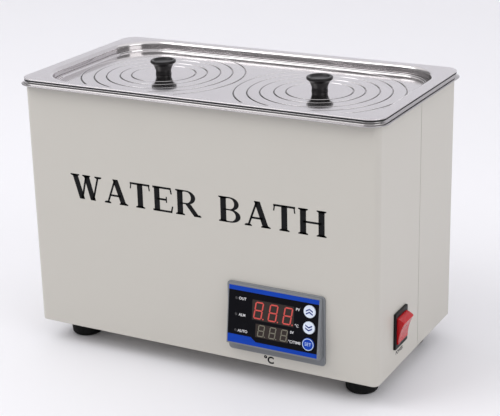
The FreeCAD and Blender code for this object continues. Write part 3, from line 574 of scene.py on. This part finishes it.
class BATH_OT_finish_rim(bpy.types.Operator):
    """Stainless on the tank, a darker copy of it with painted shade on the trim frame, and
    near-black on the rim strip between them
    """
    bl_idname = "bath.finish_rim"
    bl_label = "Finish rim and tank"

    def execute(self, context):
        finish = context.scene.bath_finish
        steel = steel_material("Rolled stainless", finish.steel, finish.steel_roughness, "rolled",
                               Line_size=0.0005, Line_length=0.04)
        finish_nodes(["tank_rim", "tank", "shelf"], steel)
        # The trim frame gets a darker copy of the stainless: painted shade standing in for the
        # darker surroundings it reflects.
        trim_painted_shade_share = 0.66
        painted_shade_tint = [channel * trim_painted_shade_share for channel in finish.steel]
        shaded_trim = steel_material("Trim stainless with painted shade", painted_shade_tint, finish.steel_roughness * 0.75, "rolled",
                                Line_size=0.0005, Line_length=0.05)
        finish_nodes(["top_frame"], shaded_trim)
        # Near-black on the strip under the flange's edge.
        gasket = coated_material("Rim strip black", (0.008, 0.008, 0.008), 0.6, 0.0008, 0.00002,
                                 drift=0.1, specular=0.3)
        finish_nodes(["rim_gasket"], gasket)
        return {"FINISHED"}


class BATH_OT_finish_lids(bpy.types.Operator):
    """Stainless on the cover, the rings and the middle discs, with painted shade in the grooves
    between the rings
    """
    bl_idname = "bath.finish_lids"
    bl_label = "Finish cover and lids"

    def execute(self, context):
        finish = context.scene.bath_finish
        deck = steel_material("Cover stainless", finish.steel, finish.steel_roughness * 0.75,
                              "rolled", Line_size=0.0006, Line_length=0.03)
        offset = middle_of("right_lid_disc").x
        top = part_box("right_lid_disc")[1].z
        shade_grooves(deck, offset, top)
        finish_nodes(["cover_plate"], deck)
        rings = [f"{side}_ring_{order}" for side in SIDES for order in range(1, 5)]
        rings += [f"{side}_lid_disc" for side in SIDES]
        turned = steel_material("Turned stainless", finish.steel, finish.steel_roughness * 0.65,
                                "turned", Offset=offset, Line_size=0.0006)
        shade_grooves(turned, offset, top)
        finish_nodes(rings, turned)
        return {"FINISHED"}


class BATH_OT_finish_knobs(bpy.types.Operator):
    """Black resin knobs on plated washers and screws"""
    bl_idname = "bath.finish_knobs"
    bl_label = "Finish knobs"

    def execute(self, context):
        finish = context.scene.bath_finish
        resin = coated_material("Knob resin", finish.knob, 0.3, 0.0012, 0.00002, drift=0.2,
                                specular=0.3)
        finish_nodes([f"{side}_knob" for side in SIDES], resin)
        plated = steel_material("Washer plate", finish.steel, 0.18, "turned",
                                Offset=middle_of("right_lid_disc").x, Line_size=0.0004)
        finish_nodes([f"{side}_knob_{part}" for side in SIDES for part in ("washer", "screw")],
                     plated)
        return {"FINISHED"}


class BATH_OT_finish_inside(bpy.types.Operator):
    """Heater, probe, bushes and the parts in the bay under the tank"""
    bl_idname = "bath.finish_inside"
    bl_label = "Finish inside parts"

    def execute(self, context):
        sheath = steel_material("Heater sheath", (0.42, 0.39, 0.36), 0.38, "rolled",
                                Line_size=0.0006, Line_length=0.01)
        finish_nodes(["heater_tube", "sensor_probe", "heater_terminals"], sheath)
        brass = steel_material("Brass", (0.74, 0.55, 0.24), 0.28, "rolled", Line_size=0.0004,
                               Line_length=0.003)
        finish_nodes(["tank_bushes", "tank_nuts", "switch_terminals"], brass)
        seal = coated_material("Seal silicone", (0.40, 0.07, 0.04), 0.55, 0.0007, 0.00002,
                               drift=0.08)
        finish_nodes(["heater_seals"], seal)
        board = coated_material("Board mask", (0.02, 0.16, 0.05), 0.35, 0.0009, 0.00001, drift=0.1)
        finish_nodes(["control_board"], board)
        block = coated_material("Terminal ceramic", (0.78, 0.77, 0.72), 0.35, 0.001, 0.00001)
        finish_nodes(["terminal_block"], block)
        nylon = coated_material("Inner nylon", (0.025, 0.025, 0.026), 0.5, 0.0007, 0.00001,
                                drift=0.1)
        finish_nodes(["controller_rear_case", "controller_terminals", "key_switches"], nylon)
        sleeve = coated_material("Wire sleeve", (0.10, 0.09, 0.42), 0.45, 0.0008, 0.00001,
                                 drift=0.1)
        finish_nodes(["internal_wires"], sleeve)
        return {"FINISHED"}


class BATH_OT_finish_controller(bpy.types.Operator):
    """Housing, film, windows, lamps and keys of the controller"""
    bl_idname = "bath.finish_controller"
    bl_label = "Finish controller"

    def execute(self, context):
        finish = context.scene.bath_finish
        grey = coated_material("Controller plastic", finish.case, 0.48, 0.0007, 0.000015,
                               drift=0.03)
        finish_nodes(["controller_case", "controller_clamps"], grey)
        film = coated_material("Black film", finish.film, 0.4, 0.0015, 0.000002, drift=0.2,
                               specular=0.03)
        finish_nodes(["controller_face"], film)
        window = coated_material("Smoked window", (0.040, 0.031, 0.028), 0.3, 0.001, 0.000002,
                                 drift=0.12, specular=0.08)
        finish_nodes(["pv_display", "sv_display"], window)
        lamp = coated_material("Lamp lens", (0.035, 0.033, 0.036), 0.25, 0.001, 0.000002, drift=0.1)
        finish_nodes(["indicator_leds"], lamp)
        white = coated_material("White key", finish.key, 0.35, 0.0008, 0.000003, drift=0.02,
                                coat=0.2)
        finish_nodes(["key_up", "key_down"], white)
        blue = coated_material("Blue key", finish.band, 0.35, 0.0008, 0.000003, drift=0.05,
                               specular=0.15)
        finish_nodes(["key_set"], blue)
        return {"FINISHED"}


def segment(middle, length, thickness, upright):
    """Outline of one display segment with pointed ends."""
    half = length / 2
    tip = thickness / 2
    along = [(-half, 0), (-half + tip, tip), (half - tip, tip), (half, 0), (half - tip, -tip),
             (-half + tip, -tip)]
    if upright:
        along = [(-y, x) for x, y in along]
    return [(middle[0] + x, middle[1] + y) for x, y in along]


def digit_outlines(corner, width, height, thickness, lean):
    """All seven segments and the point of a leaning digit whose lower left is at corner."""
    gap = thickness * 0.12
    across = width - thickness - gap * 2
    upright = (height - thickness) / 2 - gap * 2
    levels = (thickness / 2, height / 2, height - thickness / 2)
    shapes = [segment((width / 2, level), across, thickness, False) for level in levels]
    for x in (thickness / 2, width - thickness / 2):
        for low, high in zip(levels, levels[1:]):
            shapes.append(segment((x, (low + high) / 2), upright, thickness, True))
    point_x, point_radius, point_corners = width + thickness * 1.2, thickness * 0.55, 16
    shapes.append(circle_points((point_x, thickness / 2), point_radius, point_corners))
    shear = math.tan(math.radians(lean))
    return [[(corner[0] + x + y * shear, corner[1] + y) for x, y in shape] for shape in shapes]


def display_digits(left, bottom, pitch, width, height, thickness):
    """Outlines of three digits in a row."""
    lean = 8.0
    outlines = []
    for order in range(3):
        outlines += digit_outlines((left + order * pitch, bottom), width, height, thickness, lean)
    return outlines


def chevron(middle, half_width, rise, thickness, upward):
    """Outline of a bent stroke that points up or down."""
    sign = 1 if upward else -1
    points = [(-half_width, -rise), (0, rise), (half_width, -rise), (half_width, -rise - thickness),
              (0, rise - thickness), (-half_width, -rise - thickness)]
    return [(middle[0] + x, middle[1] + sign * (y + thickness / 2)) for x, y in points]


class BATH_OT_print_controller(bpy.types.Operator):
    """Bands, digits, labels and key marks on the controller's face"""
    bl_idname = "bath.print_controller"
    bl_label = "Print controller face"

    def execute(self, context):
        finish = context.scene.bath_finish
        sizes = context.scene.bath_print
        face = face_plane()
        half_u, half_v = FACE_HALF_WIDTH - FILM_CLEARANCE, FACE_HALF_HEIGHT - FILM_CLEARANCE
        band = ink_material("Band ink", finish.band, 0.3)
        top_band = 3.7 * MM
        low_band = 3.4 * MM
        step_low, step_high, tab_top = -14.5 * MM, -18.8 * MM, -17.0 * MM
        tab = [(-half_u, -half_v), (half_u, -half_v), (half_u, -half_v + low_band),
               (step_low, -half_v + low_band), (step_high, tab_top), (-half_u, tab_top)]
        bands = [[(-half_u, half_v - top_band), (half_u, half_v - top_band), (half_u, half_v),
                  (-half_u, half_v)], tab]
        print_shapes("face_bands", bands, face, band, "cabinet")

        window = face_plane(-0.1 * MM)
        red = ink_material("Lit segments", finish.measured_digits, 0.4, glow=0.18)
        upper = display_digits(left=-17.6 * MM, bottom=-1.0 * MM, pitch=12.95 * MM,
                               width=7.6 * MM, height=sizes.upper_digit, thickness=1.1 * MM)
        print_shapes("pv_digits", upper, window, red, "cabinet")
        pale = ink_material("Dull segments", finish.target_digits, 0.4, glow=0.1)
        lower = display_digits(left=-13.5 * MM, bottom=-15.3 * MM, pitch=10.2 * MM,
                               width=5.8 * MM, height=sizes.lower_digit, thickness=0.8 * MM)
        print_shapes("sv_digits", lower, window, pale, "cabinet")

        white = ink_material("Label ink", (0.72, 0.72, 0.74), 0.5)
        # words, and their middle's distance to the right of and above the face's, in millimetres
        labels = {"label_out": ("OUT", -27.4, 13.7), "label_alm": ("ALM", -27.4, 0.0),
                  "label_auto": ("AUTO", -26.5, -13.4), "label_pv": ("PV", 21.8, 13.2),
                  "label_degree_pv": ("°C", 21.4, -0.3), "label_sv": ("SV", 17.5, -6.5),
                  "label_degree_time": ("°C/TIME", 20.0, -14.3)}
        for name, (words, u, v) in labels.items():
            place = face @ Matrix.Translation((u * MM, v * MM, 0))
            print_words(name, words, place, sizes.label, white, "cabinet",
                        weight=0.02)

        navy = ink_material("Key mark ink", (0.02, 0.035, 0.22), 0.45)
        for name, upward in (("key_up", True), ("key_down", False)):
            marks = [chevron((0, shift * MM), half_width=3.0 * MM, rise=0.85 * MM,
                             thickness=1.15 * MM, upward=upward) for shift in (-1.15, 1.25)]
            print_shapes(name + "_mark", marks, key_plane(name), navy, name)
        pale_blue = ink_material("Key ring ink", (0.55, 0.70, 0.90), 0.4)
        ring = ring_sections((0, 0), KEY_RADIUS * 0.86, KEY_RADIUS * 0.97)
        print_shapes("key_set_ring", ring, key_plane("key_set"), pale_blue, "key_set")
        print_words("key_set_mark", "SET", key_plane("key_set"), 2.6 * MM, pale_blue, "key_set")
        return {"FINISHED"}


class BATH_OT_finish_switch(bpy.types.Operator):
    """Black frame, red rocker and the word under it"""
    bl_idname = "bath.finish_switch"
    bl_label = "Finish switch"

    def execute(self, context):
        finish = context.scene.bath_finish
        frame_plastic = coated_material("Switch plastic", (0.008, 0.008, 0.008), 0.4, 0.0006,
                                        0.00001, drift=0.15, specular=0.15)
        finish_nodes(["switch_housing"], frame_plastic)
        lens = lens_material("Rocker lens", finish.rocker, 0.18, 0.1)
        finish_nodes(["rocker"], lens)
        ink = ink_material("Label black", (0.02, 0.02, 0.02), 0.5)
        under_pivot, letter_height = 20.6 * MM, 3.0 * MM
        place = side_plane() @ Matrix.Translation((0, -under_pivot, 0))
        print_words("switch_label", "POWER", place, letter_height, ink, "cabinet",
                    weight=0.03)
        return {"FINISHED"}


HAIRLINE = 0.055  # thin part of a round letter, as a share of its height


def block(low_x, low_y, high_x, high_y):
    """Outline of an upright rectangle."""
    return [(low_x, low_y), (high_x, low_y), (high_x, high_y), (low_x, high_y)]


def stroke(start_x, start_y, end_x, end_y, width):
    """Outline of a slanted stroke with level ends."""
    half = width / 2
    return [(start_x - half, start_y), (start_x + half, start_y), (end_x + half, end_y),
            (end_x - half, end_y)]


def foot_serif(x, y, half, upward):
    """Bracketed serif: flat at height y and narrowing into its stroke."""
    thin = 0.045 if upward else -0.045
    neck, tall = half * 0.55, thin * 1.9
    return [(x - half, y), (x + half, y), (x + half, y + thin), (x + neck, y + tall),
            (x - neck, y + tall), (x - half, y + thin)]


def bowl(left, low, high, reach, width):
    """Outlines of the round side of a letter, heavy at its right."""
    middle = (low + high) / 2
    rise = (high - low) / 2
    quads = []
    steps = 14
    for step in range(steps):
        corners = []
        for turn, inside in ((step, False), (step + 1, False), (step + 1, True), (step, True)):
            angle = -math.pi / 2 + math.pi * turn / steps
            across = reach - (width if inside else 0)
            up = rise - (HAIRLINE if inside else 0)
            corners.append((left + across * math.cos(angle), middle + up * math.sin(angle)))
        quads.append(corners)
    return quads


def capital(letter):
    """Width and outlines of a bold serif capital of unit height."""
    thick, thin, half = 0.225, 0.08, 0.18
    left, right = 0.19, 0.87
    bar_low, bar_high = 0.5 - thin / 2, 0.5 + thin / 2
    post = block(left - thick / 2, 0, left + thick / 2, 1)
    post_feet = [foot_serif(left, 0, half, True), foot_serif(left, 1, half, False)]
    if letter == "W":
        return 1.36, [stroke(0.47, 0, 0.20, 1, thick), stroke(0.47, 0, 0.69, 1, thin),
                      stroke(0.94, 0, 0.69, 1, thick), stroke(0.94, 0, 1.19, 1, thin),
                      foot_serif(0.20, 1, 0.19, False), foot_serif(0.69, 1, 0.17, False),
                      foot_serif(1.19, 1, 0.15, False)]
    if letter == "A":
        return 1.02, [stroke(0.15, 0, 0.50, 1, thin), stroke(0.83, 0, 0.50, 1, thick),
                      block(0.24, 0.30, 0.72, 0.30 + thin), foot_serif(0.15, 0, 0.14, True),
                      foot_serif(0.83, 0, 0.18, True)]
    if letter == "T":
        return 0.90, [block(0.45 - thick / 2, 0, 0.45 + thick / 2, 1),
                      block(0.04, 1 - thin, 0.86, 1),
                      stroke(0.055, 0.74, 0.09, 1, 0.05), stroke(0.845, 0.74, 0.81, 1, 0.05),
                      foot_serif(0.45, 0, 0.19, True)]
    if letter == "E":
        return 0.88, [post, block(0.02, 0, 0.80, thin), block(0.02, 1 - thin, 0.77, 1),
                      block(left, bar_low, 0.58, bar_high), block(0.55, 0.38, 0.60, 0.62),
                      stroke(0.76, 0, 0.82, 0.27, 0.06), stroke(0.78, 0.75, 0.74, 1, 0.06)]
    if letter == "H":
        return 1.08, [post, block(right - thick / 2, 0, right + thick / 2, 1),
                      block(left, bar_low, right, bar_high),
                      foot_serif(right, 0, half, True),
                      foot_serif(right, 1, half, False)] + post_feet
    if letter == "B":
        joins = [block(left, level, 0.46, level + HAIRLINE) for level in (0, 0.4725, 0.945)]
        return 0.94, ([post] + joins + post_feet + bowl(0.44, 0.4725, 1, 0.36, 0.18)
                      + bowl(0.46, 0, 0.5275, 0.40, 0.19))
    if letter != "R":
        raise ValueError(f"no outline for the letter {letter}")
    joins = [block(left, level, 0.46, level + HAIRLINE) for level in (0.4475, 0.945)]
    return 1.04, ([post] + joins + post_feet + bowl(0.44, 0.4475, 1, 0.37, 0.18)
                  + [stroke(0.86, 0, 0.50, 0.47, thick), foot_serif(0.90, 0, 0.13, True)])


def title_outlines(words, width, height):
    """Outlines of bold serif capitals in one row, centred on the origin."""
    space, gap = 0.62, 0.06
    outlines = []
    left = 0.0
    for letter in words:
        if letter == " ":
            left += space
            continue
        advance, shapes = capital(letter)
        outlines += [[(left + x, y) for x, y in shape] for shape in shapes]
        left += advance + gap
    across = width / (left - gap)
    return [[((x - (left - gap) / 2) * across, (y - 0.5) * height) for x, y in shape]
            for shape in outlines]


class BATH_OT_print_front(bpy.types.Operator):
    """Plain words on the front panel"""
    bl_idname = "bath.print_front"
    bl_label = "Print front panel"

    def execute(self, context):
        sizes = context.scene.bath_print
        ink = ink_material("Front ink", (0.006, 0.006, 0.007), 0.5)
        panel = front_plane()
        title_centre, degree_centre = (-0.7 * MM, 149.3 * MM, 0), (65.0 * MM, 24.6 * MM, 0)
        title = panel @ Matrix.Translation(title_centre)
        strokes = title_outlines("WATER BATH", sizes.title_width, sizes.title_height)
        print_shapes("front_title", strokes, title, ink, "cabinet")
        degree = panel @ Matrix.Translation(degree_centre)
        print_words("front_degree", "°C", degree, 5.8 * MM, ink, "cabinet",
                    weight=0.04)
        return {"FINISHED"}


class BATH_OT_set_stage(bpy.types.Operator):
    """Pale sweep, soft lights and the camera"""
    bl_idname = "bath.set_stage"
    bl_label = "Set stage"

    def execute(self, context):
        stage = context.scene.bath_stage
        self.add_sweep(stage)
        self.add_world(context, stage)
        self.add_lights(context, stage)
        self.add_camera(context, stage)
        context.scene.view_settings.view_transform = "Standard"
        return {"FINISHED"}

    def add_sweep(self, stage):
        """Floor that curves up into a backdrop, whose upper part glows."""
        plain, _, _ = self.sweep_paper("Sweep paper", stage.floor, 0.75)
        glowing, shader, tint = self.sweep_paper("Backdrop paper", stage.floor, 0.5)
        link(glowing.node_tree, tint, shader.inputs["Emission Color"])
        shader.inputs["Emission Strength"].default_value = stage.backdrop_glow
        half_width, front_edge, bend_starts, bend, top_edge = 9.0, -8.0, 6.0, 2.0, 8.0
        steps = 12
        profile = [(front_edge, 0.0)]
        for step in range(steps + 1):
            angle = math.pi / 2 * step / steps
            profile.append((bend_starts + bend * math.sin(angle), bend - bend * math.cos(angle)))
        profile.append((bend_starts + bend, top_edge))
        mesh = bpy.data.meshes.new("sweep")
        shape = bmesh.new()
        rows = [[shape.verts.new((side * half_width, y, z)) for side in (-1, 1)]
                for y, z in profile]
        for order, (low, high) in enumerate(zip(rows, rows[1:])):
            face = shape.faces.new((low[0], low[1], high[1], high[0]))
            face.smooth = True
            face.material_index = 0 if order < steps / 2 else 1
        shape.to_mesh(mesh)
        shape.free()
        mesh.materials.append(plain)
        mesh.materials.append(glowing)
        sweep = bpy.data.objects.new("sweep", mesh)
        bpy.context.scene.collection.objects.link(sweep)

    def sweep_paper(self, name, tone, roughness):
        """Pale paper; returns the material, its shader and its drifting tint."""
        material, tree, shader = new_material(name)
        speckle = use_group(tree, shared("speckle"), Size=0.004, Drift_size=0.6)
        tint = varied_colour(tree, speckle.outputs["Drift"], tone, 0.01)
        link(tree, tint, shader.inputs["Base Color"])
        shader.inputs["Roughness"].default_value = roughness
        return material, shader, tint

    def add_world(self, context, stage):
        """Pale light from above that falls off towards the horizon."""
        world = bpy.data.worlds.new("Studio surround")
        world.use_nodes = True
        tree = world.node_tree
        background = tree.nodes["Background"]
        direction = add_node(tree, "ShaderNodeTexCoord").outputs["Generated"]
        parts = add_node(tree, "ShaderNodeSeparateXYZ")
        link(tree, direction, parts.inputs[0])
        fade_starts, fade_ends = 0.35, 0.62  # upward part of the direction
        rise = add_node(tree, "ShaderNodeMapRange", in_From_Min=fade_starts, in_From_Max=fade_ends,
                        in_To_Min=stage.sky_strength * stage.low_sky, in_To_Max=stage.sky_strength)
        link(tree, parts.outputs["Z"], rise.inputs["Value"])
        background.inputs["Color"].default_value = (*stage.sky, 1.0)
        link(tree, rise.outputs["Result"], background.inputs["Strength"])
        context.scene.world = world

    def add_lights(self, context, stage):
        """Large soft lights aimed at the bath."""
        target = Vector((0, 0, 0.12))
        lights = (("key_light", (-1.3, -1.2, 1.9), 1.6, stage.key_power),
                  ("fill_light", (1.9, -0.7, 1.2), 1.4, stage.fill_power))
        for name, place, size, power in lights:
            lamp = bpy.data.lights.new(name, "AREA")
            lamp.shape = "SQUARE"
            lamp.size = size
            lamp.energy = power
            holder = bpy.data.objects.new(name, lamp)
            holder.location = place
            holder.rotation_euler = (target - Vector(place)).to_track_quat("-Z", "Y").to_euler()
            context.scene.collection.objects.link(holder)

    def add_camera(self, context, stage):
        """Camera that looks down on the front right corner."""
        camera = bpy.data.cameras.new("camera")
        camera.sensor_width = SENSOR_WIDTH
        camera.lens = stage.lens
        holder = bpy.data.objects.new("camera", camera)
        tilt, roll, heading = stage.camera_turn
        holder.matrix_world = (Matrix.Translation(stage.camera_place)
                               @ Matrix.Rotation(heading, 4, "Z")
                               @ Matrix.Rotation(tilt, 4, "X") @ Matrix.Rotation(roll, 4, "Z"))
        context.scene.collection.objects.link(holder)
        context.scene.camera = holder


OPERATORS = (BATH_OT_set_stage, BATH_OT_finish_cabinet, BATH_OT_finish_rim, BATH_OT_finish_lids,
             BATH_OT_finish_knobs, BATH_OT_finish_inside, BATH_OT_finish_controller,
             BATH_OT_print_controller, BATH_OT_finish_switch, BATH_OT_print_front)


class BATH_PT_panel(bpy.types.Panel):
    """Lists the steps that dress the bath"""
    bl_idname = "BATH_PT_panel"
    bl_label = "Water bath"
    bl_space_type = "VIEW_3D"
    bl_region_type = "UI"
    bl_category = "Water bath"

    def draw(self, context):
        for group in SETTINGS:
            settings = getattr(context.scene, group)
            box = self.layout.box()
            for name in settings.__annotations__:
                box.prop(settings, name)
        for operator in OPERATORS:
            self.layout.operator(operator.bl_idname)


SETTINGS = {"bath_finish": BathFinishSettings, "bath_print": BathPrintSettings,
            "bath_stage": BathStageSettings}


def register():
    """Add the settings, operators and panel."""
    for name, group in SETTINGS.items():
        bpy.utils.register_class(group)
        setattr(bpy.types.Scene, name, bpy.props.PointerProperty(type=group))
    for operator in OPERATORS:
        bpy.utils.register_class(operator)
    bpy.utils.register_class(BATH_PT_panel)


def unregister():
    """Remove the panel, operators and settings."""
    bpy.utils.unregister_class(BATH_PT_panel)
    for operator in reversed(OPERATORS):
        bpy.utils.unregister_class(operator)
    for name, group in SETTINGS.items():
        delattr(bpy.types.Scene, name)
        bpy.utils.unregister_class(group)


def main():
    """Dress the bath."""
    register()
    bpy.ops.bath.set_stage()
    bpy.ops.bath.finish_cabinet()
    bpy.ops.bath.finish_rim()
    bpy.ops.bath.finish_lids()
    bpy.ops.bath.finish_knobs()
    bpy.ops.bath.finish_inside()
    bpy.ops.bath.finish_controller()
    bpy.ops.bath.print_controller()
    bpy.ops.bath.finish_switch()
    bpy.ops.bath.print_front()


if __name__ == "__main__":
    main()
